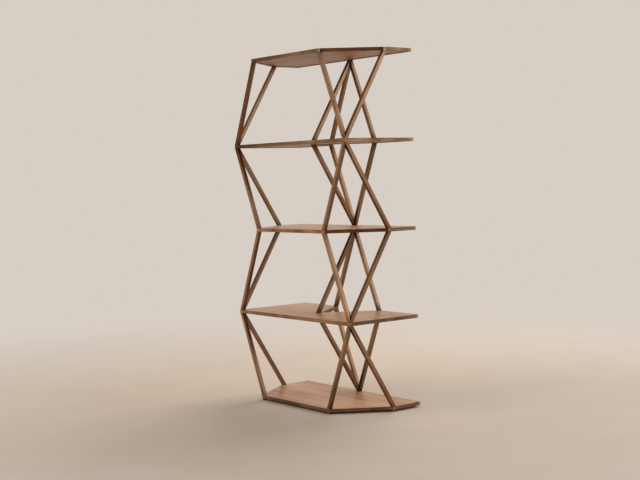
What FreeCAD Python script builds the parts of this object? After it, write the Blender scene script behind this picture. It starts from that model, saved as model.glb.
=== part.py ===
import FreeCAD, Part
import math
import os

# Faceted etagere: shelves of two alternating outlines, held apart by leaning square tubes.
# Millimetres. +X is to the right seen from the front, +Y to the back, +Z up, floor at Z = 0.

# Driving dimensions: the whole unit
WIDTH = 970.0          # across the outer faces of the side rails
DEPTH = 460.0          # front face to back face
PITCH = 460.0          # one shelf's top face to the next one's
SHELF_COUNT = 5        # odd numbered shelves are chamfered, even numbered ones notched
STEP_X = 186.0         # how far a leg in the front or back plane leans over one bay
STEP_Y = 270.0         # how far a leg in a side plane or the centre plane leans over one bay

# Driving dimensions: legs
TUBE = 20.0            # side of the square tube, and so of the blocks and rails
TUBE_WALL = 1.5
TUBE_CORNER = 1.2      # flat on the tube's outer corners

# Driving dimensions: shelves
SHELF_THICKNESS = 18.0
RAIL_WALL = 3.0        # thickness of both legs of the angle section
ARRIS = 0.8            # chamfer on the edges of blocks and on the rails' outer edges
PANEL_GAP = 0.5        # all round the loose panel

# Driving dimensions: countersunk screws that hold the panels down from below
SCREW_RADIUS = 1.75
SCREW_HEAD_RADIUS = 3.5
SCREW_HEAD_DEPTH = 1.75
SCREW_COVER = 5.0      # panel left above a screw's tip
SCREW_TIP = 2.0        # length of the pointed end
SCREW_TIP_RADIUS = 0.4
SCREW_SIDES = 8        # flats round a screw and its hole
SCREW_SPACING = 330.0  # largest usual run of rail for one screw
SCREW_CLEARANCE = 0.05

# Driving dimensions: levelling glides
STEM_RADIUS = 4.0
STEM_COVER = 3.0       # block left above a stem that is screwed right in
STEM_SPARE = 1.0       # empty thread above that stem
STEM_CLEARANCE = 0.05
HEXAGON_FLATS = 13.0   # across the flats that a spanner turns
HEXAGON_THICKNESS = 2.0
HEXAGON_GAP = 0.3      # left under the block when a glide is screwed right in
PAD_RADIUS = 9.5
PAD_THICKNESS = 5.7
PAD_EDGE = 1.0
PAD_SIDES = 24         # grip flats round a pad

# Fits that follow from them
HALF_TUBE = TUBE / 2
SIDE_X = WIDTH / 2 - HALF_TUBE
FRONT_Y = -DEPTH / 2 + HALF_TUBE
BACK_Y = DEPTH / 2 - HALF_TUBE
FLOOR_GAP = HEXAGON_GAP + HEXAGON_THICKNESS + PAD_THICKNESS
RISE = PITCH - SHELF_THICKNESS
PANEL_THICKNESS = SHELF_THICKNESS - RAIL_WALL
SCREW_LENGTH = SHELF_THICKNESS - SCREW_COVER
STEM_LENGTH = SHELF_THICKNESS - STEM_COVER
REACH = WIDTH + DEPTH + PITCH

# Centres of the corner blocks, anticlockwise from above
CHAMFERED = {
    "front_left": (-(SIDE_X - STEP_X), FRONT_Y),
    "front_right": (SIDE_X - STEP_X, FRONT_Y),
    "side_right": (SIDE_X, FRONT_Y + STEP_Y),
    "back_right": (SIDE_X, BACK_Y),
    "back_centre": (0.0, BACK_Y),
    "back_left": (-SIDE_X, BACK_Y),
    "side_left": (-SIDE_X, FRONT_Y + STEP_Y),
}
NOTCHED = {
    "front_left": (-SIDE_X, FRONT_Y),
    "front_right": (SIDE_X, FRONT_Y),
    "back_right": (SIDE_X, BACK_Y),
    "notch_right": (STEP_X, BACK_Y),
    "notch_tip": (0.0, BACK_Y - STEP_Y),
    "notch_left": (-STEP_X, BACK_Y),
    "back_left": (-SIDE_X, BACK_Y),
}

# Each leg runs from a block of a chamfered shelf to a block of a notched one
LEGS = {
    "front_left": ("front_left", "front_left"),
    "front_right": ("front_right", "front_right"),
    "side_left": ("side_left", "front_left"),
    "side_right": ("side_right", "front_right"),
    "back_left": ("back_centre", "notch_left"),
    "back_right": ("back_centre", "notch_right"),
    "centre": ("back_centre", "notch_tip"),
}
GLIDE_CORNERS = ["front_left", "front_right", "side_left", "side_right", "back_centre"]


def vector(plan, height=0.0):
    return FreeCAD.Vector(plan[0], plan[1], height)


def shelf_bottom(number):
    return FLOOR_GAP + (number - 1) * PITCH


def shelf_plan(number):
    return CHAMFERED if number % 2 else NOTCHED


def square_bar(side, length):
    """An upright square bar, centred on the origin in plan."""
    return Part.makeBox(side, side, length, FreeCAD.Vector(-side / 2, -side / 2, 0))


def flat_face(corners):
    return Part.Face(Part.makePolygon(corners + corners[:1]))


def prism(outline, bottom, height):
    """A plan outline raised to a solid."""
    corners = [vector(plan, bottom) for plan in outline]
    return flat_face(corners).extrude(FreeCAD.Vector(0, 0, height))


def polygon(sides, radius):
    """The plan corners of a regular polygon about the origin."""
    angles = [2 * math.pi * side / sides for side in range(sides)]
    return [(radius * math.cos(angle), radius * math.sin(angle)) for angle in angles]


def many_sided(profile, sides):
    """A solid with flat sides about the Z axis, through a profile of (radius, height) steps."""
    rings = []
    for radius, height in profile:
        rings.append([vector(plan, height) for plan in polygon(sides, radius)])
    faces = [flat_face(rings[0]), flat_face(rings[-1])]
    for low, high in zip(rings, rings[1:]):
        for side in range(sides):
            faces.append(flat_face([low[side - 1], low[side], high[side], high[side - 1]]))
    return Part.Solid(Part.Shell(faces))


def offset_outline(nodes, distance):
    """Moves every side of an anticlockwise outline outwards and returns its mitred corners."""
    corners = []
    for place, node in enumerate(nodes):
        here = vector(node)
        before = (here - vector(nodes[place - 1])).normalize()
        after = (vector(nodes[(place + 1) % len(nodes)]) - here).normalize()
        normal_before = FreeCAD.Vector(before.y, -before.x, 0)
        normal_after = FreeCAD.Vector(after.y, -after.x, 0)
        reach = distance / (1 + normal_before.dot(normal_after))
        corner = here + (normal_before + normal_after) * reach
        corners.append((corner.x, corner.y))
    return corners


# Legs

def leg_ends(number, leg):
    """The lower and upper block of a leg in bay number, which stands on that shelf."""
    chamfered_end, notched_end = LEGS[leg]
    if number % 2:
        return CHAMFERED[chamfered_end], NOTCHED[notched_end]
    return NOTCHED[notched_end], CHAMFERED[chamfered_end]


def flush_shift(leg):
    """Moves a front or side leg inwards until its slanted end is flush with the corner block."""
    if leg.startswith("front"):
        inwards = 1 if leg.endswith("left") else -1
        slant = math.hypot(STEP_X, RISE) / RISE
        return FreeCAD.Vector(inwards * (slant - 1) * HALF_TUBE, 0, 0)
    if leg.startswith("side"):
        slant = math.hypot(STEP_Y, RISE) / RISE
        return FreeCAD.Vector(0, (slant - 1) * HALF_TUBE, 0)
    return FreeCAD.Vector(0, 0, 0)


def half_space(plan, towards, bottom, height):
    """The side of an upright plane through plan that lies in the direction towards."""
    block = Part.makeBox(REACH, 2 * REACH, height, FreeCAD.Vector(0, -REACH, bottom))
    angle = math.degrees(math.atan2(towards.y, towards.x))
    block.rotate(FreeCAD.Vector(0, 0, 0), FreeCAD.Vector(0, 0, 1), angle)
    block.translate(vector(plan))
    return block


def leg_tube(number, leg):
    """A leaning tube, cut level on its two blocks and mitred against the legs it meets there."""
    bottom = shelf_bottom(number) + SHELF_THICKNESS
    lower, upper = leg_ends(number, leg)
    start = vector(lower, bottom) + flush_shift(leg)
    end = vector(upper, bottom + RISE) + flush_shift(leg)
    axis = (end - start).normalize()
    length = start.distanceToPoint(end) + 2 * TUBE
    bar = square_bar(TUBE, length)
    long_edges = [edge for edge in bar.Edges if edge.Length > 2 * TUBE]
    tube = bar.makeChamfer(TUBE_CORNER, long_edges).cut(square_bar(TUBE - 2 * TUBE_WALL, length))
    turn = FreeCAD.Rotation(FreeCAD.Vector(0, 0, 1), axis)
    tube.Placement = FreeCAD.Placement(start - axis * TUBE, turn)
    level_cut = FreeCAD.Vector(-REACH, -REACH, bottom)
    tube = tube.common(Part.makeBox(2 * REACH, 2 * REACH, RISE, level_cut))
    for here, there in ((lower, upper), (upper, lower)):
        away = (vector(there) - vector(here)).normalize()
        for other in LEGS:
            other_ends = leg_ends(number, other)
            if other == leg or here not in other_ends:
                continue
            other_there = other_ends[1 - other_ends.index(here)]
            other_away = (vector(other_there) - vector(here)).normalize()
            tube = tube.common(half_space(here, away - other_away, bottom, RISE))
    return tube.Solids[0]


# Shelves

def screw(grow=0.0):
    """A countersunk screw standing point up on its head, or its hole when grown."""
    profile = [
        (SCREW_HEAD_RADIUS + grow, 0.0),
        (SCREW_RADIUS + grow, SCREW_HEAD_DEPTH),
        (SCREW_RADIUS + grow, SCREW_LENGTH - SCREW_TIP),
        (SCREW_TIP_RADIUS + grow, SCREW_LENGTH + grow),
    ]
    return many_sided(profile, SCREW_SIDES)


def screw_places(nodes):
    """Plan points along the middle of each rail's ledge, evenly spaced between two blocks."""
    ledge = offset_outline(nodes, -RAIL_WALL / 2)
    places = []
    for place, start in enumerate(ledge):
        run = vector(ledge[(place + 1) % len(ledge)]) - vector(start)
        count = max(1, round(run.Length / SCREW_SPACING))
        for index in range(count):
            point = vector(start) + run * ((index + 0.5) / count)
            places.append((point.x, point.y))
    return places


def placed(shape, plan, height):
    copy = shape.copy()
    copy.translate(vector(plan, height))
    return copy


def chamfer_outer_edges(rail, start, end):
    """Breaks the two long edges of the face that shows."""
    along = (vector(end) - vector(start)).normalize()
    outwards = FreeCAD.Vector(along.y, -along.x, 0)
    face = max(rail.Faces, key=lambda side: side.CenterOfMass.dot(outwards))
    long_edges = [edge for edge in face.Edges if abs(edge.tangentAt(edge.FirstParameter).z) < 0.5]
    return rail.makeChamfer(ARRIS, long_edges)


def shelf_rails(number):
    """One angle-section rail for each side: an upright edge and a ledge under the panel."""
    nodes = list(shelf_plan(number).values())
    bottom = shelf_bottom(number)
    outer = offset_outline(nodes, HALF_TUBE)
    wall = offset_outline(nodes, HALF_TUBE - RAIL_WALL)
    ledge = offset_outline(nodes, -HALF_TUBE)
    seat = square_bar(TUBE, SHELF_THICKNESS)
    cutters = [placed(seat, node, bottom) for node in nodes]
    hole = screw(SCREW_CLEARANCE)
    cutters += [placed(hole, plan, bottom) for plan in screw_places(nodes)]
    rails = []
    for place in range(len(nodes)):
        following = (place + 1) % len(nodes)
        upright = [outer[place], outer[following], wall[following], wall[place]]
        flat = [outer[place], outer[following], ledge[following], ledge[place]]
        rail = prism(upright, bottom, SHELF_THICKNESS).fuse(prism(flat, bottom, RAIL_WALL))
        rail = chamfer_outer_edges(rail.removeSplitter(), outer[place], outer[following]).cut(cutters)
        rails.append(max(rail.Solids, key=lambda solid: solid.Volume))
    return rails


def shelf_blocks(number):
    """Solid corner blocks; those over a glide are tapped from below."""
    bottom = shelf_bottom(number)
    block = square_bar(TUBE, SHELF_THICKNESS)
    block = block.makeChamfer(ARRIS, block.Edges)
    thread = Part.makeCylinder(STEM_RADIUS + STEM_CLEARANCE, STEM_LENGTH + STEM_SPARE)
    tapped = block.cut(thread)
    blocks = []
    for name, node in shelf_plan(number).items():
        over_glide = number == 1 and name in GLIDE_CORNERS
        blocks.append(placed(tapped if over_glide else block, node, bottom))
    return blocks


def shelf_panel(number):
    """The loose board, cut round the blocks and resting on the rails' ledges."""
    nodes = list(shelf_plan(number).values())
    bottom = shelf_bottom(number)
    board_bottom = bottom + RAIL_WALL
    outline = offset_outline(nodes, HALF_TUBE - RAIL_WALL - PANEL_GAP)
    board = prism(outline, board_bottom, PANEL_THICKNESS)
    relief = square_bar(TUBE + 2 * PANEL_GAP, PANEL_THICKNESS)
    cutters = [placed(relief, node, board_bottom) for node in nodes]
    pilot = screw(SCREW_CLEARANCE)
    cutters += [placed(pilot, plan, bottom) for plan in screw_places(nodes)]
    return max(board.cut(cutters).Solids, key=lambda solid: solid.Volume)


def panel_screws():
    screws = []
    for number in range(1, SHELF_COUNT + 1):
        nodes = list(shelf_plan(number).values())
        screws += [placed(screw(), plan, shelf_bottom(number)) for plan in screw_places(nodes)]
    return screws


# Levelling glides

def glide_stem(corner):
    """A threaded stem on a hexagon for the spanner, screwed up into its block."""
    hexagon = prism(polygon(6, HEXAGON_FLATS / math.sqrt(3)), 0.0, HEXAGON_THICKNESS)
    stem = Part.makeCylinder(STEM_RADIUS, HEXAGON_THICKNESS + HEXAGON_GAP + STEM_LENGTH)
    return placed(hexagon.fuse(stem).removeSplitter(), CHAMFERED[corner], PAD_THICKNESS)


def glide_pad(corner):
    """A foot with grip flats round it and its lower rim broken."""
    profile = [
        (PAD_RADIUS - PAD_EDGE, 0.0),
        (PAD_RADIUS, PAD_EDGE),
        (PAD_RADIUS, PAD_THICKNESS),
    ]
    return placed(many_sided(profile, PAD_SIDES), CHAMFERED[corner], 0.0)


def write(node, solids):
    Part.makeCompound(solids).exportStep(os.path.join("parts", node + ".step"))


os.makedirs("parts", exist_ok=True)
for shelf in range(1, SHELF_COUNT + 1):
    write("shelf_%d_rails" % shelf, shelf_rails(shelf))
    write("shelf_%d_blocks" % shelf, shelf_blocks(shelf))
    write("shelf_%d_panel" % shelf, [shelf_panel(shelf)])
for bay in range(1, SHELF_COUNT):
    for leg in LEGS:
        write("leg_%d_%s" % (bay, leg), [leg_tube(bay, leg)])
write("panel_screws", panel_screws())
for corner in GLIDE_CORNERS:
    write("glide_%s_stem" % corner, [glide_stem(corner)])
    write("glide_%s_pad" % corner, [glide_pad(corner)])
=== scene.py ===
import math

import bmesh
import bpy
from mathutils import Matrix, Vector


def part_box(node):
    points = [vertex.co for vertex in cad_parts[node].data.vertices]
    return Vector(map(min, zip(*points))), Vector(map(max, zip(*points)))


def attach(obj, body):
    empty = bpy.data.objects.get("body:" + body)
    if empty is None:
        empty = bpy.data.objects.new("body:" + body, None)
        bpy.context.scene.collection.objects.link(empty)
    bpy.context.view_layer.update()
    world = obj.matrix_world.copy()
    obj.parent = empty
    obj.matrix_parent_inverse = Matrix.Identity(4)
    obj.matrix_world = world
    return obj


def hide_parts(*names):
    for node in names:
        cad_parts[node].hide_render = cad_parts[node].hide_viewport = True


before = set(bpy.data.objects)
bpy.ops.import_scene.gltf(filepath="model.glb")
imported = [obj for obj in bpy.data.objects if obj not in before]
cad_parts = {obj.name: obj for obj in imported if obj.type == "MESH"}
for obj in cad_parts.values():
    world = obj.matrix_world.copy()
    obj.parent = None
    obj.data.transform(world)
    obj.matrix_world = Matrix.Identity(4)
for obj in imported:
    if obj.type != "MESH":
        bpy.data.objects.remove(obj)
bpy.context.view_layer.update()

# Glide pads: black nylon feet that the unit stands on, under each corner block that carries legs.
# They are injection moulded, with rings in the sole for grip and a shallow dish round the hexagon.
GLIDES = ["front_left", "front_right", "side_left", "side_right", "back_centre"]
TURN_STEPS = 48
MERGE_TOUCHING = 1e-6
SMOOTH_ANGLE = math.radians(35)
PAD_DISH_DEPTH = 0.0006
PAD_EDGE_SHARE = 0.1
SOLE_RING_COUNT = 3
SOLE_RING_DEPTH = 0.0005
RING_START_SHARE = 0.2
RING_STEP_SHARE = 0.22
RING_WIDTH_SHARE = 0.08
RING_SLOPE_SHARE = 0.3
NYLON_DARK = (0.012, 0.012, 0.013, 1)
NYLON_PALE = (0.035, 0.034, 0.033, 1)
NYLON_ROUGHNESS = 0.5
NYLON_GRAIN = (2600, 2600, 2600)
NYLON_GRAIN_DEPTH = 0.00005
DUST_CELLS = (160, 160, 160)
DUST_RANGE = (0.45, 0.75)
DUST_DULLING = 0.2


class Wire:
    """A shader socket that can be used in arithmetic: each operation adds a Math node."""

    def __init__(self, tree, socket):
        self.tree = tree
        self.socket = socket

    def plug(self, node, sockets):
        """Gives each named socket of a node a value or a link."""
        for name, value in sockets.items():
            if isinstance(value, Wire):
                self.tree.links.new(value.socket, node.inputs[name])
            else:
                node.inputs[name].default_value = value

    def node(self, kind, settings, sockets, output=0):
        """Adds a node, with its settings first and then its sockets, and returns one output."""
        made = self.tree.nodes.new("ShaderNode" + kind)
        for name, value in settings.items():
            if name == "stops":
                ramp = made.color_ramp.elements
                for stop, (place, colour) in enumerate(value):
                    element = ramp[stop] if stop < 2 else ramp.new(place)
                    element.position = place
                    element.color = colour
            else:
                setattr(made, name, value)
        self.plug(made, sockets)
        return Wire(self.tree, made.outputs[output])

    def math(self, operation, first, second=0.0):
        return self.node("Math", {"operation": operation}, {0: first, 1: second})

    def __add__(self, other):
        return self.math("ADD", self, other)

    def __sub__(self, other):
        return self.math("SUBTRACT", self, other)

    def __rsub__(self, other):
        return self.math("SUBTRACT", other, self)

    def __mul__(self, other):
        return self.math("MULTIPLY", self, other)

    __radd__ = __add__
    __rmul__ = __mul__

    def noise(self, cells, turn=(0, 0, 0), detail=3.0):
        """Noise with so many cells a metre along each axis of a turned frame, about 0 to 1."""
        cell = [1 / count for count in cells]
        mapping = {"Vector": self, "Rotation": turn, "Scale": cell}
        mapped = self.node("Mapping", {"vector_type": "TEXTURE"}, mapping)
        return self.node("TexNoise", {}, {"Vector": mapped, "Scale": 1.0, "Detail": detail})

    def band(self, low, high):
        """0 below low, 1 above high and smooth between; turned round where low is the greater."""
        settings = {"interpolation_type": "SMOOTHSTEP"}
        return self.node("MapRange", settings, {"Value": self, "From Min": low, "From Max": high})

    def mix(self, first, second):
        """A colour between two, with this wire as the share of the second."""
        return self.node("Mix", {"data_type": "RGBA"}, {0: self, 6: first, 7: second}, output=2)

    def bump(self, depth):
        """A normal for a surface that rises by the depth where this wire goes from 0 to 1."""
        return self.node("Bump", {}, {"Height": self, "Distance": depth})


def start_material(name):
    """A new material, its shader node and the Object coordinates as a wire."""
    material = bpy.data.materials.new(name)
    material.use_nodes = True
    tree = material.node_tree
    where = Wire(tree, tree.nodes.new("ShaderNodeTexCoord").outputs["Object"])
    return material, tree.nodes["Principled BSDF"], where


def moulded_nylon():
    """Matt black plastic with a fine mould grain and a little dust."""
    material, shader, where = start_material("moulded_nylon")
    grain = where.noise(NYLON_GRAIN, detail=2.0)
    dust = where.noise(DUST_CELLS).band(*DUST_RANGE)
    where.plug(shader, {
        "Base Color": dust.mix(NYLON_DARK, NYLON_PALE),
        "Roughness": NYLON_ROUGHNESS + dust * DUST_DULLING,
        "Normal": grain.bump(NYLON_GRAIN_DEPTH),
    })
    return material


def spin_profile(profile, centre, steps=TURN_STEPS):
    """A closed solid of revolution about an upright axis, from (radius, height) points."""
    turned = bmesh.new()
    points = []
    for radius, height in profile:
        points.append(turned.verts.new((centre.x + radius, centre.y, height)))
    edges = [turned.edges.new(pair) for pair in zip(points, points[1:])]
    bmesh.ops.spin(
        turned, geom=points + edges, cent=centre, axis=(0, 0, 1),
        angle=2 * math.pi, steps=steps, use_merge=True,
    )
    bmesh.ops.remove_doubles(turned, verts=turned.verts, dist=MERGE_TOUCHING)
    bmesh.ops.recalc_face_normals(turned, faces=turned.faces)
    return turned


def add_piece(name, shape, material, body, slot, *nodes):
    """Makes an object of a bmesh that rides on a body in place of CAD nodes."""
    mesh = bpy.data.meshes.new(name)
    shape.to_mesh(mesh)
    shape.free()
    mesh.materials.append(material)
    piece = bpy.data.objects.new(name, mesh)
    bpy.context.scene.collection.objects.link(piece)
    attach(piece, body)
    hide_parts(*nodes)
    return piece


def soften(piece):
    """Smooths a piece's curved faces and keeps its edges sharp."""
    piece.data.shade_smooth()
    piece.data.set_sharp_from_angle(angle=SMOOTH_ANGLE)


def pad_profile(low, high, radius):
    """The pad's outline from the middle of its sole to the middle of its dish."""
    edge = PAD_EDGE_SHARE * radius
    groove = RING_WIDTH_SHARE * radius
    slope = RING_SLOPE_SHARE * groove
    points = [(0.0, low)]
    for ring in range(SOLE_RING_COUNT):
        inner = radius * (RING_START_SHARE + RING_STEP_SHARE * ring)
        points += [(inner, low), (inner + slope, low + SOLE_RING_DEPTH)]
        points += [(inner + groove, low + SOLE_RING_DEPTH), (inner + groove + slope, low)]
    points += [(radius - edge, low), (radius - 0.3 * edge, low + 0.3 * edge), (radius, low + edge)]
    points += [(radius, high - edge / 2), (radius - edge / 2, high), (radius - 1.5 * edge, high)]
    points += [(radius - 2 * edge, high - PAD_DISH_DEPTH), (0.0, high - PAD_DISH_DEPTH)]
    return points


nylon = moulded_nylon()
for corner in GLIDES:
    low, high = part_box("glide_%s_pad" % corner)
    centre = (low + high) / 2
    shape = spin_profile(pad_profile(low.z, high.z, (high.x - low.x) / 2), centre)
    pad = add_piece(
        "glide_%s_sole" % corner, shape, nylon,
        "glide_" + corner, "glide_nylon", "glide_%s_pad" % corner,
    )
    soften(pad)

# Glide stems: zinc plated steel studs with a rolled M8 thread, screwed up into the corner blocks.
# The thin hexagon is for a spanner, and it is what the nylon pad is moulded onto.
THREAD_PITCH = 0.00125
THREAD_DEPTH = 0.0007
THREAD_ROOT = 0.0001
THREAD_STEPS = 24
STEM_RADIUS = 0.004
HEXAGON_THICKNESS = 0.002
HEXAGON_BEVEL = 0.0004
ZINC_PALE = (0.62, 0.61, 0.58, 1)
ZINC_DULL = (0.36, 0.35, 0.33, 1)
ZINC_ROUGHNESS = 0.28
ZINC_BLOOM = (220, 220, 220)
ZINC_BLOOM_RANGE = (0.35, 0.7)
ZINC_BLOOM_DULLING = 0.18
ZINC_SCRATCH = (300, 300, 5000)
ZINC_SCRATCH_DULLING = 0.08
ZINC_SCRATCH_DEPTH = 0.00002


def zinc_plate():
    """Pale bright plating with a dull bloom and fine scratches round the stem."""
    material, shader, where = start_material("zinc_plate")
    bloom = where.noise(ZINC_BLOOM, detail=5.0)
    scratch = where.noise(ZINC_SCRATCH, detail=2.0)
    where.plug(shader, {
        "Base Color": bloom.band(*ZINC_BLOOM_RANGE).mix(ZINC_PALE, ZINC_DULL),
        "Metallic": 1.0,
        "Roughness": ZINC_ROUGHNESS + bloom * ZINC_BLOOM_DULLING + scratch * ZINC_SCRATCH_DULLING,
        "Normal": scratch.bump(ZINC_SCRATCH_DEPTH),
    })
    return material


def thread_ridge(centre, low, high):
    """A closed helical ridge: a tooth that is spun and lifted by one pitch a turn."""
    ridge = bmesh.new()
    foot = STEM_RADIUS - THREAD_DEPTH - THREAD_ROOT
    middle = THREAD_PITCH / 2
    tooth = [(foot, THREAD_ROOT), (STEM_RADIUS, middle - THREAD_ROOT)]
    tooth += [(STEM_RADIUS, middle + THREAD_ROOT), (foot, THREAD_PITCH - THREAD_ROOT)]
    points = []
    for radius, lift in tooth:
        points.append(ridge.verts.new((centre.x + radius, centre.y, low + lift)))
    end = ridge.faces.new(points)
    turns = math.floor((high - low) / THREAD_PITCH) - 1
    bmesh.ops.spin(
        ridge, geom=[end, *end.edges, *points], cent=centre, axis=(0, 0, 1),
        angle=2 * math.pi * turns, steps=turns * THREAD_STEPS,
        dvec=(0, 0, THREAD_PITCH / THREAD_STEPS),
    )
    bmesh.ops.recalc_face_normals(ridge, faces=ridge.faces)
    return ridge


def hexagon_plate(centre, low, radius):
    """A flat hexagon with softened edges, standing on a height."""
    plate = bmesh.new()
    bmesh.ops.create_cone(
        plate, cap_ends=True, segments=6, radius1=radius, radius2=radius, depth=HEXAGON_THICKNESS,
        matrix=Matrix.Translation((centre.x, centre.y, low + HEXAGON_THICKNESS / 2)),
    )
    bmesh.ops.bevel(
        plate, geom=plate.edges[:], offset=HEXAGON_BEVEL, affect="EDGES",
        segments=2, profile=0.5, material=-1,
    )
    return plate


def join_shapes(*shapes):
    """One bmesh from several, which stay separate shells."""
    joined = bmesh.new()
    for shape in shapes:
        mesh = bpy.data.meshes.new("part_of_piece")
        shape.to_mesh(mesh)
        shape.free()
        joined.from_mesh(mesh)
        bpy.data.meshes.remove(mesh)
    return joined


zinc = zinc_plate()
for corner in GLIDES:
    low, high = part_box("glide_%s_stem" % corner)
    centre = (low + high) / 2
    thread_low = low.z + HEXAGON_THICKNESS
    root = STEM_RADIUS - THREAD_DEPTH
    core = [(0.0, thread_low), (root, thread_low), (root, high.z - THREAD_DEPTH)]
    core += [(root - THREAD_DEPTH, high.z), (0.0, high.z)]
    shape = join_shapes(
        hexagon_plate(centre, low.z, (high.x - low.x) / 2),
        spin_profile(core, centre, THREAD_STEPS),
        thread_ridge(centre, thread_low, high.z),
    )
    stem = add_piece(
        "glide_%s_stud" % corner, shape, zinc,
        "glide_" + corner, "plain_steel", "glide_%s_stem" % corner,
    )
    soften(stem)

# Corner blocks: solid brass squares at the corners of every shelf, welded to legs and rails.
# They have the legs' brown patina, rubbed through to brighter metal by cloths and hands; this
# brighter metal on the edges is partly a painted highlight.
SHELVES = range(1, 6)
BLOCK_BROWN = (0.195, 0.108, 0.054, 1)
BLOCK_GOLD = (0.355, 0.220, 0.125, 1)
BLOCK_STROKES = (30, 30, 160)
# Painted shade: the dark brown that the legs are darkened to next to the shelves, where the shelves
# shade them.
PAINTED_SHADE_BROWN = (0.062, 0.030, 0.013, 1)
PATINA_RANGE = (0.30, 0.68)
PATINA_ROUGHNESS = 0.27
PATINA_METALLIC = 0.97
EDGE_TINT = (0.70, 0.54, 0.41, 1)
# Partly rubbed metal and partly a painted highlight: the brighter gold mixed in along the sharp
# edges.
RUBBED_GOLD_AND_HIGHLIGHT = (0.460, 0.310, 0.180, 1)
RUB_AND_HIGHLIGHT_SHARE = 0.4
RUBBED_REACH = 0.0012
RUBBED_TURN = (0.02, 0.16)
RUBBED_PATCHES = (0.35, 0.6)
RUBBED_POLISH = 0.05
CLOUD_CELLS = (11, 11, 5)
CLOUD_SHARE = 0.60
STROKE_SHARE = 0.32
STROKE_DULLING = 0.12
STROKE_DEPTH = 0.00001
HAIRLINE_FINENESS = 9
HAIRLINE_SHARE = 0.08
HAIRLINE_DULLING = 0.05
HAIRLINE_RISE = 0.3
# How far the painted shade reaches along the legs from each shelf, and how much it is clouded.
PAINTED_SHADE_REACH = 0.06
PAINTED_SHADE_CLOUDING = (0.6, 0.8)
WAX_WEIGHT = 0.12
WAX_ROUGHNESS = 0.3


# Painted shade: a mask that darkens the legs next to the shelves, where the shelves and the other
# legs shade them.
def painted_shade_by_shelves(where):
    """1 on the shelves' levels and fading to 0 up and down the legs, from the frame's height."""
    low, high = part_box("shelf_1_rails")
    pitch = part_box("shelf_2_rails")[0].z - low.z
    height = where.node("SeparateXYZ", {}, {"Vector": where}, output="Z")
    storey = (height - (low.z + high.z) / 2) * (1 / pitch)
    apart = where.math("ABSOLUTE", storey - where.math("ROUND", storey)) * pitch
    return apart.band(PAINTED_SHADE_REACH, (high.z - low.z) / 2)


# Partly real wear and partly painted highlight: this mask brightens every sharp edge, as if it
# caught the light.
def rubbed_and_highlit_edges(where):
    """1 on sharp edges and 0 on flats, from how far a rounded normal turns off the flat one."""
    flat = where.node("NewGeometry", {}, {}, output="Normal")
    rounded = where.node("Bevel", {"samples": 8}, {"Radius": RUBBED_REACH})
    settings = {"operation": "DOT_PRODUCT"}
    alike = where.node("VectorMath", settings, {0: flat, 1: rounded}, output="Value")
    return (1 - alike).band(*RUBBED_TURN)


def patina(name, dark, light, strokes, turn=(0, 0, 0), painted_shade=0.0):
    """Waxed bronze with brush strokes, clouded colour, rubbed edges that are partly painted
    highlights, and painted shade next to the shelves.
    """
    material, shader, where = start_material(name)
    stroke = where.noise(strokes, turn)
    hairline = where.noise([HAIRLINE_FINENESS * count for count in strokes], turn, detail=2.0)
    cloud = where.noise(CLOUD_CELLS, turn)
    edge = rubbed_and_highlit_edges(where) * cloud.band(*RUBBED_PATCHES)
    tone = cloud * CLOUD_SHARE + stroke * STROKE_SHARE + hairline * HAIRLINE_SHARE
    colour = tone.band(*PATINA_RANGE).mix(dark, light)
    # Partly rubbed metal and partly painted highlight: brighter gold along the sharp edges.
    colour = (edge * RUB_AND_HIGHLIGHT_SHARE).mix(colour, RUBBED_GOLD_AND_HIGHLIGHT)
    # Painted shade: the legs are darkened next to the shelves by the painted shade share.
    if painted_shade:
        even, clouded = PAINTED_SHADE_CLOUDING
        painted_shade_share = painted_shade_by_shelves(where) * (even + cloud * clouded)
        colour = (painted_shade_share * painted_shade).mix(colour, PAINTED_SHADE_BROWN)
    brushed = PATINA_ROUGHNESS + stroke * STROKE_DULLING + hairline * HAIRLINE_DULLING
    where.plug(shader, {
        "Base Color": colour,
        "Metallic": PATINA_METALLIC,
        "Roughness": brushed - edge * RUBBED_POLISH,
        "Normal": (stroke + hairline * HAIRLINE_RISE).bump(STROKE_DEPTH),
        "Specular Tint": EDGE_TINT,
        "Coat Weight": WAX_WEIGHT,
        "Coat Roughness": WAX_ROUGHNESS,
    })
    return material


def dress(node, material):
    """Gives a CAD node its material."""
    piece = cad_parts[node]
    for slot in piece.material_slots:
        slot.material = material
    return piece


block_bronze = patina("block_bronze_rubbed_and_highlit", BLOCK_BROWN, BLOCK_GOLD, BLOCK_STROKES)
for shelf in SHELVES:
    dress("shelf_%d_blocks" % shelf, block_bronze)

# Shelf rails: brass angle, fitted between the corner blocks, that carries each board on a ledge.
# Brushed along its length and darkened like the legs, a little deeper in tone.
RAIL_DARK = (0.118, 0.064, 0.034, 1)
RAIL_LIGHT = (0.282, 0.169, 0.101, 1)
RAIL_STROKES = (3, 3, 170)
rail_bronze = patina("rail_bronze_brushed", RAIL_DARK, RAIL_LIGHT, RAIL_STROKES)
for shelf in SHELVES:
    dress("shelf_%d_rails" % shelf, rail_bronze)

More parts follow.
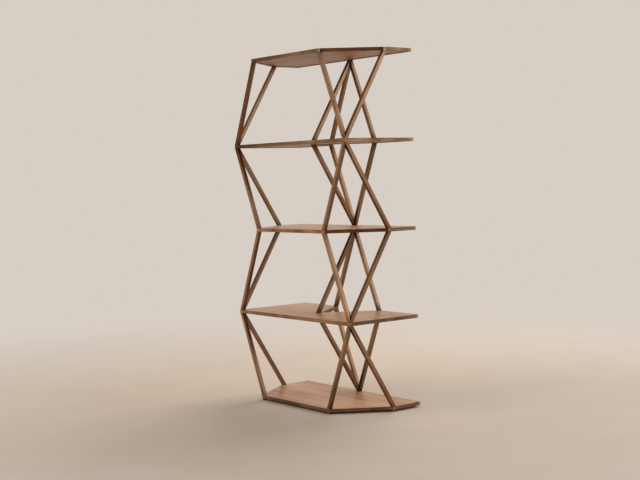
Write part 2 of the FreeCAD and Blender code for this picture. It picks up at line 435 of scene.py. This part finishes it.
# Boards: walnut veneered panels, dropped into the rails with a hairline gap all round.
# The grain runs the length of the shelf, with open pores and slow changes of tone.
# The lacquer is satin on top and duller on the underside.
BOARD_ROUND = 0.0006
ROUND_SEGMENTS = 3
MERGE_REACH = 0.00002
FLAT_ANGLE = math.radians(1)
SHARP_ANGLE = math.radians(25)
WALNUT_DARK = (0.228, 0.104, 0.051, 1)
WALNUT_MID = (0.380, 0.198, 0.104, 1)
WALNUT_LIGHT = (0.500, 0.286, 0.162, 1)
WALNUT_STOPS = [(0.34, WALNUT_DARK), (0.66, WALNUT_LIGHT), (0.50, WALNUT_MID)]
SWAY_CELLS = (1.6, 7, 7)
SWAY_REACH = 0.05
PATCH_CELLS = (4, 6, 6)
PATCH_SHARE = 0.30
FIGURE_CELLS = (1.6, 24, 24)
FIGURE_SHARE = 0.50
STRIPE_CELLS = (3.0, 110, 110)
STRIPE_SHARE = 0.20
PORE_CELLS = (34, 1500, 1500)
PORE_RANGE = (0.60, 0.72)
PORE_SHADE = 0.40
PORE_DULLING = 0.12
GRAIN_DULLING = 0.10
GRAIN_RISE = 0.3
GRAIN_DEPTH = 0.00001
LACQUER_ROUGHNESS = 0.26
LACQUER_SPECULAR = 0.16
UNDERSIDE_FACING = (0.0, -0.5)
UNDERSIDE_DULLING = 0.13


def walnut_veneer():
    """Lacquered walnut: figure and stripes that sway along the grain, with darker pores."""
    material, shader, where = start_material("walnut_veneer")
    sway = where.noise(SWAY_CELLS, detail=2.0)
    aside = where.node("CombineXYZ", {}, {"Y": sway * SWAY_REACH})
    swayed = where.node("VectorMath", {"operation": "ADD"}, {0: where, 1: aside})
    patch = where.noise(PATCH_CELLS)
    figure = swayed.noise(FIGURE_CELLS)
    stripe = swayed.noise(STRIPE_CELLS, detail=2.0)
    pore = swayed.noise(PORE_CELLS, detail=2.0).band(*PORE_RANGE)
    tone = patch * PATCH_SHARE + figure * FIGURE_SHARE + stripe * STRIPE_SHARE
    colour = where.node("ValToRGB", {"stops": WALNUT_STOPS}, {"Fac": tone})
    normal = where.node("NewGeometry", {}, {}, output="Normal")
    facing_up = where.node("SeparateXYZ", {}, {"Vector": normal}, output="Z")
    lacquer = LACQUER_ROUGHNESS + facing_up.band(*UNDERSIDE_FACING) * UNDERSIDE_DULLING
    where.plug(shader, {
        "Base Color": (pore * PORE_SHADE).mix(colour, WALNUT_DARK),
        "Roughness": lacquer + tone * GRAIN_DULLING + pore * PORE_DULLING,
        "Normal": (tone * GRAIN_RISE - pore).bump(GRAIN_DEPTH),
        "Specular IOR Level": LACQUER_SPECULAR,
    })
    return material


def round_edges(piece, radius):
    """Rounds the sharp edges of a CAD node whose triangles are first merged into flat faces."""
    merging = piece.modifiers.new("merge", "WELD")
    merging.merge_threshold = MERGE_REACH
    flattening = piece.modifiers.new("flat_faces", "DECIMATE")
    flattening.decimate_type = "DISSOLVE"
    flattening.angle_limit = FLAT_ANGLE
    rounding = piece.modifiers.new("round_edges", "BEVEL")
    rounding.width = radius
    rounding.segments = ROUND_SEGMENTS
    rounding.limit_method = "ANGLE"
    rounding.angle_limit = SHARP_ANGLE


walnut = walnut_veneer()
for shelf in SHELVES:
    round_edges(dress("shelf_%d_panel" % shelf, walnut), BOARD_ROUND)

# Legs: square brass tubes, cut level on the blocks, mitred to each other, welded and ground flush.
# Each is brushed along its own lean, so there is one finish for each lean and depth of painted
# shade.
# The painted shade next to the shelves is deeper on the legs at the back, where three tubes meet on
# a block.
LEGS = ["front_left", "front_right", "side_left", "side_right", "back_left", "back_right", "centre"]
BACK_LEGS = ["back_left", "back_right", "centre"]
BAYS = range(1, 5)
LEG_ROUND = 0.0005
LEG_BROWN = (0.165, 0.089, 0.045, 1)
LEG_GOLD = (0.322, 0.194, 0.109, 1)
LEG_STROKES = (120, 120, 2)
LEAN_PLACES = 2
# How deep the painted shade is where two legs meet on a block and where three do.
PAINTED_SHADE_OF_TWO = 0.4
PAINTED_SHADE_OF_THREE = 0.85


def lean_of(node):
    """The turn that stands a leg's frame along it, read from the corners of its ends."""
    corners = [vertex.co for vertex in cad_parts[node].data.vertices]
    low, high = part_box(node)
    ends = []
    for level in (low.z, high.z):
        near = [corner for corner in corners if abs(corner.z - level) < MERGE_REACH]
        ends.append(sum(near, Vector()) / len(near))
    axis = ends[1] - ends[0]
    back = round(math.atan2(-axis.y, axis.z), LEAN_PLACES)
    across = round(math.atan2(axis.x, axis.z), LEAN_PLACES)
    return back, across, 0.0


leg_finishes = {}
for bay in BAYS:
    for leg in LEGS:
        node = "leg_%d_%s" % (bay, leg)
        lean = lean_of(node)
        painted_shade = PAINTED_SHADE_OF_THREE if leg in BACK_LEGS else PAINTED_SHADE_OF_TWO
        if (lean, painted_shade) not in leg_finishes:
            name = "leg_bronze_%d" % len(leg_finishes)
            finish = patina(name, LEG_BROWN, LEG_GOLD, LEG_STROKES, turn=lean, painted_shade=painted_shade)
            leg_finishes[lean, painted_shade] = finish
        round_edges(dress(node, leg_finishes[lean, painted_shade]), LEG_ROUND)

# Board screws: zinc plated countersunk screws with a cross recess, driven up through the ledges.
# Only their heads show, from below, sunk just under the ledge's face.
HEAD_RADIUS = 0.00325
HEAD_DEPTH = 0.0016
HEAD_SINK = 0.00015
SHANK_RADIUS = 0.0017
POINT_START = 0.85
SCREW_STEPS = 24
SCREW_TURN = 2.4
RECESS_ARM = 0.0019
RECESS_SLOT = 0.0004
RECESS_DEPTH = 0.0011
RECESS_TAPER = 0.55


def screw_places():
    """Where each screw's head stands and how long it is, from the solids of the CAD group."""
    group = bmesh.new()
    group.from_mesh(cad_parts["panel_screws"].data)
    bmesh.ops.remove_doubles(group, verts=group.verts, dist=MERGE_REACH)
    left = set(group.verts)
    places = []
    while left:
        stack = [left.pop()]
        solid = []
        while stack:
            vertex = stack.pop()
            solid.append(vertex.co.copy())
            for edge in vertex.link_edges:
                other = edge.other_vert(vertex)
                if other in left:
                    left.remove(other)
                    stack.append(other)
        middle = sum(solid, Vector()) / len(solid)
        low = min(corner.z for corner in solid)
        high = max(corner.z for corner in solid)
        places.append((Vector((middle.x, middle.y, low)), high - low))
    group.free()
    return places


def cross_screw(length):
    """A countersunk screw at the origin, point up, with a cross sunk in its head."""
    profile = [(HEAD_RADIUS, HEAD_SINK), (SHANK_RADIUS, HEAD_DEPTH)]
    profile += [(SHANK_RADIUS, POINT_START * length), (0.0, length)]
    made = spin_profile(profile, Vector((0, 0, 0)), SCREW_STEPS)
    rim = [edge for edge in made.edges if edge.is_boundary]
    arm = [(RECESS_ARM, -RECESS_SLOT), (RECESS_ARM, RECESS_SLOT), (RECESS_SLOT, RECESS_SLOT)]
    corners = []
    for quarter in range(4):
        turn = Matrix.Rotation(quarter * math.pi / 2, 3, "Z")
        for plan in arm:
            corners.append(made.verts.new(turn @ Vector((*plan, HEAD_SINK))))
    cross = made.faces.new(corners)
    bmesh.ops.bridge_loops(made, edges=rim + cross.edges[:])
    sunk = bmesh.ops.extrude_face_region(made, geom=[cross])
    bmesh.ops.delete(made, geom=[cross], context="FACES_ONLY")
    bottom = [item for item in sunk["geom"] if isinstance(item, bmesh.types.BMVert)]
    bmesh.ops.scale(made, vec=(RECESS_TAPER, RECESS_TAPER, 1), verts=bottom)
    bmesh.ops.translate(made, vec=(0, 0, RECESS_DEPTH), verts=bottom)
    bmesh.ops.recalc_face_normals(made, faces=made.faces)
    return made


places = screw_places()
pattern = bpy.data.meshes.new("screw_pattern")
shape = cross_screw(min(length for centre, length in places))
shape.to_mesh(pattern)
shape.free()
heads = bmesh.new()
for count, (centre, length) in enumerate(places):
    before = len(heads.verts)
    heads.from_mesh(pattern)
    heads.verts.ensure_lookup_table()
    added = heads.verts[before:]
    bmesh.ops.rotate(heads, verts=added, matrix=Matrix.Rotation(count * SCREW_TURN, 3, "Z"))
    bmesh.ops.translate(heads, verts=added, vec=centre)
bpy.data.meshes.remove(pattern)
screws = add_piece("board_screws", heads, zinc, "unit", "plain_steel", "panel_screws")
soften(screws)

# Floor: a plain pale floor, faintly clouded, that the unit stands on and casts its shadow over.
# It is a wide disc that fades into the backdrop all round, so that no edge of it shows.
FLOOR_RADIUS = 12.0
FLOOR_SEGMENTS = 96
FLOOR_FADE = (0.9, 4.5)
FLOOR_PALE = (0.50, 0.415, 0.335, 1)
FLOOR_SHADE = (0.485, 0.40, 0.32, 1)
FLOOR_CLOUD = (3, 3, 3)
FLOOR_CLOUD_RANGE = (0.35, 0.65)
FLOOR_ROUGHNESS = 0.75


def pale_floor():
    """A matt pale finish that turns clear away from the middle."""
    material, shader, where = start_material("pale_floor")
    cloud = where.noise(FLOOR_CLOUD, detail=5.0).band(*FLOOR_CLOUD_RANGE)
    colour = cloud.mix(FLOOR_PALE, FLOOR_SHADE)
    where.plug(shader, {"Base Color": colour, "Roughness": FLOOR_ROUGHNESS})
    radius = where.node("VectorMath", {"operation": "LENGTH"}, {0: where}, output="Value")
    solid = Wire(where.tree, shader.outputs["BSDF"])
    clear = where.node("BsdfTransparent", {}, {})
    faded = where.node("MixShader", {}, {0: radius.band(*FLOOR_FADE), 1: solid, 2: clear})
    where.plug(where.tree.nodes["Material Output"], {"Surface": faded})
    return material


def add_stage(name, shape, material):
    """Makes an object of a bmesh that belongs to the studio and not to the unit."""
    mesh = bpy.data.meshes.new(name)
    shape.to_mesh(mesh)
    shape.free()
    mesh.materials.append(material)
    piece = bpy.data.objects.new(name, mesh)
    bpy.context.scene.collection.objects.link(piece)
    return piece


disc = bmesh.new()
bmesh.ops.create_circle(disc, cap_ends=True, segments=FLOOR_SEGMENTS, radius=FLOOR_RADIUS)
add_stage("floor", disc, pale_floor())

# Backdrop: a pale world that the camera and reflections see, browner and darker overhead.
# Everything else gets a weaker even light from it, so that the unit is lit at a plain level.
BACKDROP = (0.68, 0.615, 0.56, 1)
CEILING = (0.21, 0.155, 0.11, 1)
CEILING_START = (0.16, 0.55)
AMBIENT = (0.38, 0.365, 0.35, 1)

world = bpy.data.worlds.new("studio")
bpy.context.scene.world = world
world.use_nodes = True
tree = world.node_tree
rays = tree.nodes.new("ShaderNodeLightPath").outputs
seen = Wire(tree, rays["Is Camera Ray"]) + Wire(tree, rays["Is Glossy Ray"])
seen = seen + Wire(tree, rays["Is Transmission Ray"])
direction = Wire(tree, tree.nodes.new("ShaderNodeTexCoord").outputs["Generated"])
rise = direction.node("SeparateXYZ", {}, {"Vector": direction}, output="Z")
backdrop = rise.band(*CEILING_START).mix(BACKDROP, CEILING)
seen.plug(tree.nodes["Background"], {"Color": seen.mix(AMBIENT, backdrop), "Strength": 1.0})

# Dark flags: felt cards that keep pale reflections off the metal, unseen by the camera.
# A large brown one stands on the camera's side, a narrow dark one close to the legs on the left.
# Each has its place, width, height and colour.
AIM = Vector((0, 0, 0.9))
FLAGS = {
    "camera_flag": (Vector((2.8, -2.2, 1.3)), 3.6, 3.6, (0.36, 0.23, 0.14, 1)),
    "left_flag": (Vector((-1.19, -0.78, 1.70)), 0.42, 1.3, (0.06, 0.03, 0.012, 1)),
}
FELT_ROUGHNESS = 0.9
FELT_NAP = (900, 900, 900)
FELT_NAP_DEPTH = 0.001


def flag_felt(name, brown):
    """Matt felt with a fine nap."""
    material, shader, where = start_material(name)
    nap = where.noise(FELT_NAP, detail=2.0).bump(FELT_NAP_DEPTH)
    where.plug(shader, {"Base Color": brown, "Roughness": FELT_ROUGHNESS, "Normal": nap})
    return material


def facing(place, target):
    """A matrix at a place whose -Z axis looks at a target."""
    turn = (target - place).to_track_quat("-Z", "Y")
    return Matrix.Translation(place) @ turn.to_matrix().to_4x4()


for name, (place, width, height, brown) in FLAGS.items():
    card = bmesh.new()
    spread = facing(place, AIM) @ Matrix.Diagonal((width, height, 1, 1))
    bmesh.ops.create_grid(card, x_segments=1, y_segments=1, size=0.5, matrix=spread)
    flag = add_stage(name, card, flag_felt(name + "_felt", brown))
    flag.visible_camera = False
    flag.visible_diffuse = False
    flag.visible_shadow = False

# Soft boxes: large lamps low on the left, high on the right, high behind the unit and in front.
# The one behind is kept out of reflections, where it would speckle boards that are seen edge on.
# Each has its place, size, power in watts and colour.
SOFT_BOXES = {
    "right": (Vector((5.6, 5.0, 4.5)), 6.2, 208.0, (0.93, 0.97, 1.06)),
    "left": (Vector((-7.6, -5.9, 0.8)), 5.2, 58.0, (1.0, 0.80, 0.58)),
    "back": (Vector((-2.4, 6.0, 5.4)), 7.0, 800.0, (1.0, 0.98, 0.95)),
    "front": (Vector((-1.5, -4.2, 5.2)), 4.0, 130.0, (1.0, 0.97, 0.93)),
}

for name, (place, size, power, colour) in SOFT_BOXES.items():
    lamp = bpy.data.lights.new(name, "AREA")
    lamp.size = size
    lamp.energy = power
    lamp.color = colour
    box = bpy.data.objects.new(name, lamp)
    box.matrix_world = facing(place, AIM)
    box.visible_camera = False
    box.visible_glossy = name != "back"
    bpy.context.scene.collection.objects.link(box)

# Camera: at the photograph's angle, a little above the middle shelf, pitched down and rolled.
# Its place, turn and lens were fitted to the joints of the unit in the photograph.
CAMERA_AZIMUTH = math.radians(52.158)
CAMERA_DISTANCE = 6.597
CAMERA_HEIGHT = 1.2254
CAMERA_SIDE = -0.020
CAMERA_PITCH = math.radians(3.026)
CAMERA_ROLL = math.radians(-1.706)
CAMERA_LENS = 68.86
CAMERA_SENSOR = 36.0

away = Vector((math.sin(CAMERA_AZIMUTH), -math.cos(CAMERA_AZIMUTH), 0))
level_right = Vector((math.cos(CAMERA_AZIMUTH), math.sin(CAMERA_AZIMUTH), 0))
forward = -away * math.cos(CAMERA_PITCH) - Vector((0, 0, math.sin(CAMERA_PITCH)))
level_up = level_right.cross(forward)
right = level_right * math.cos(CAMERA_ROLL) + level_up * math.sin(CAMERA_ROLL)
up = level_up * math.cos(CAMERA_ROLL) - level_right * math.sin(CAMERA_ROLL)
turn = Matrix((right, up, -forward)).transposed().to_4x4()
place = away * CAMERA_DISTANCE + level_right * CAMERA_SIDE + Vector((0, 0, CAMERA_HEIGHT))
lens = bpy.data.cameras.new("camera")
lens.sensor_fit = "HORIZONTAL"
lens.sensor_width = CAMERA_SENSOR
lens.lens = CAMERA_LENS
camera = bpy.data.objects.new("camera", lens)
camera.matrix_world = Matrix.Translation(place) @ turn
bpy.context.scene.collection.objects.link(camera)
bpy.context.scene.camera = camera
bpy.context.scene.view_settings.view_transform = "Standard"
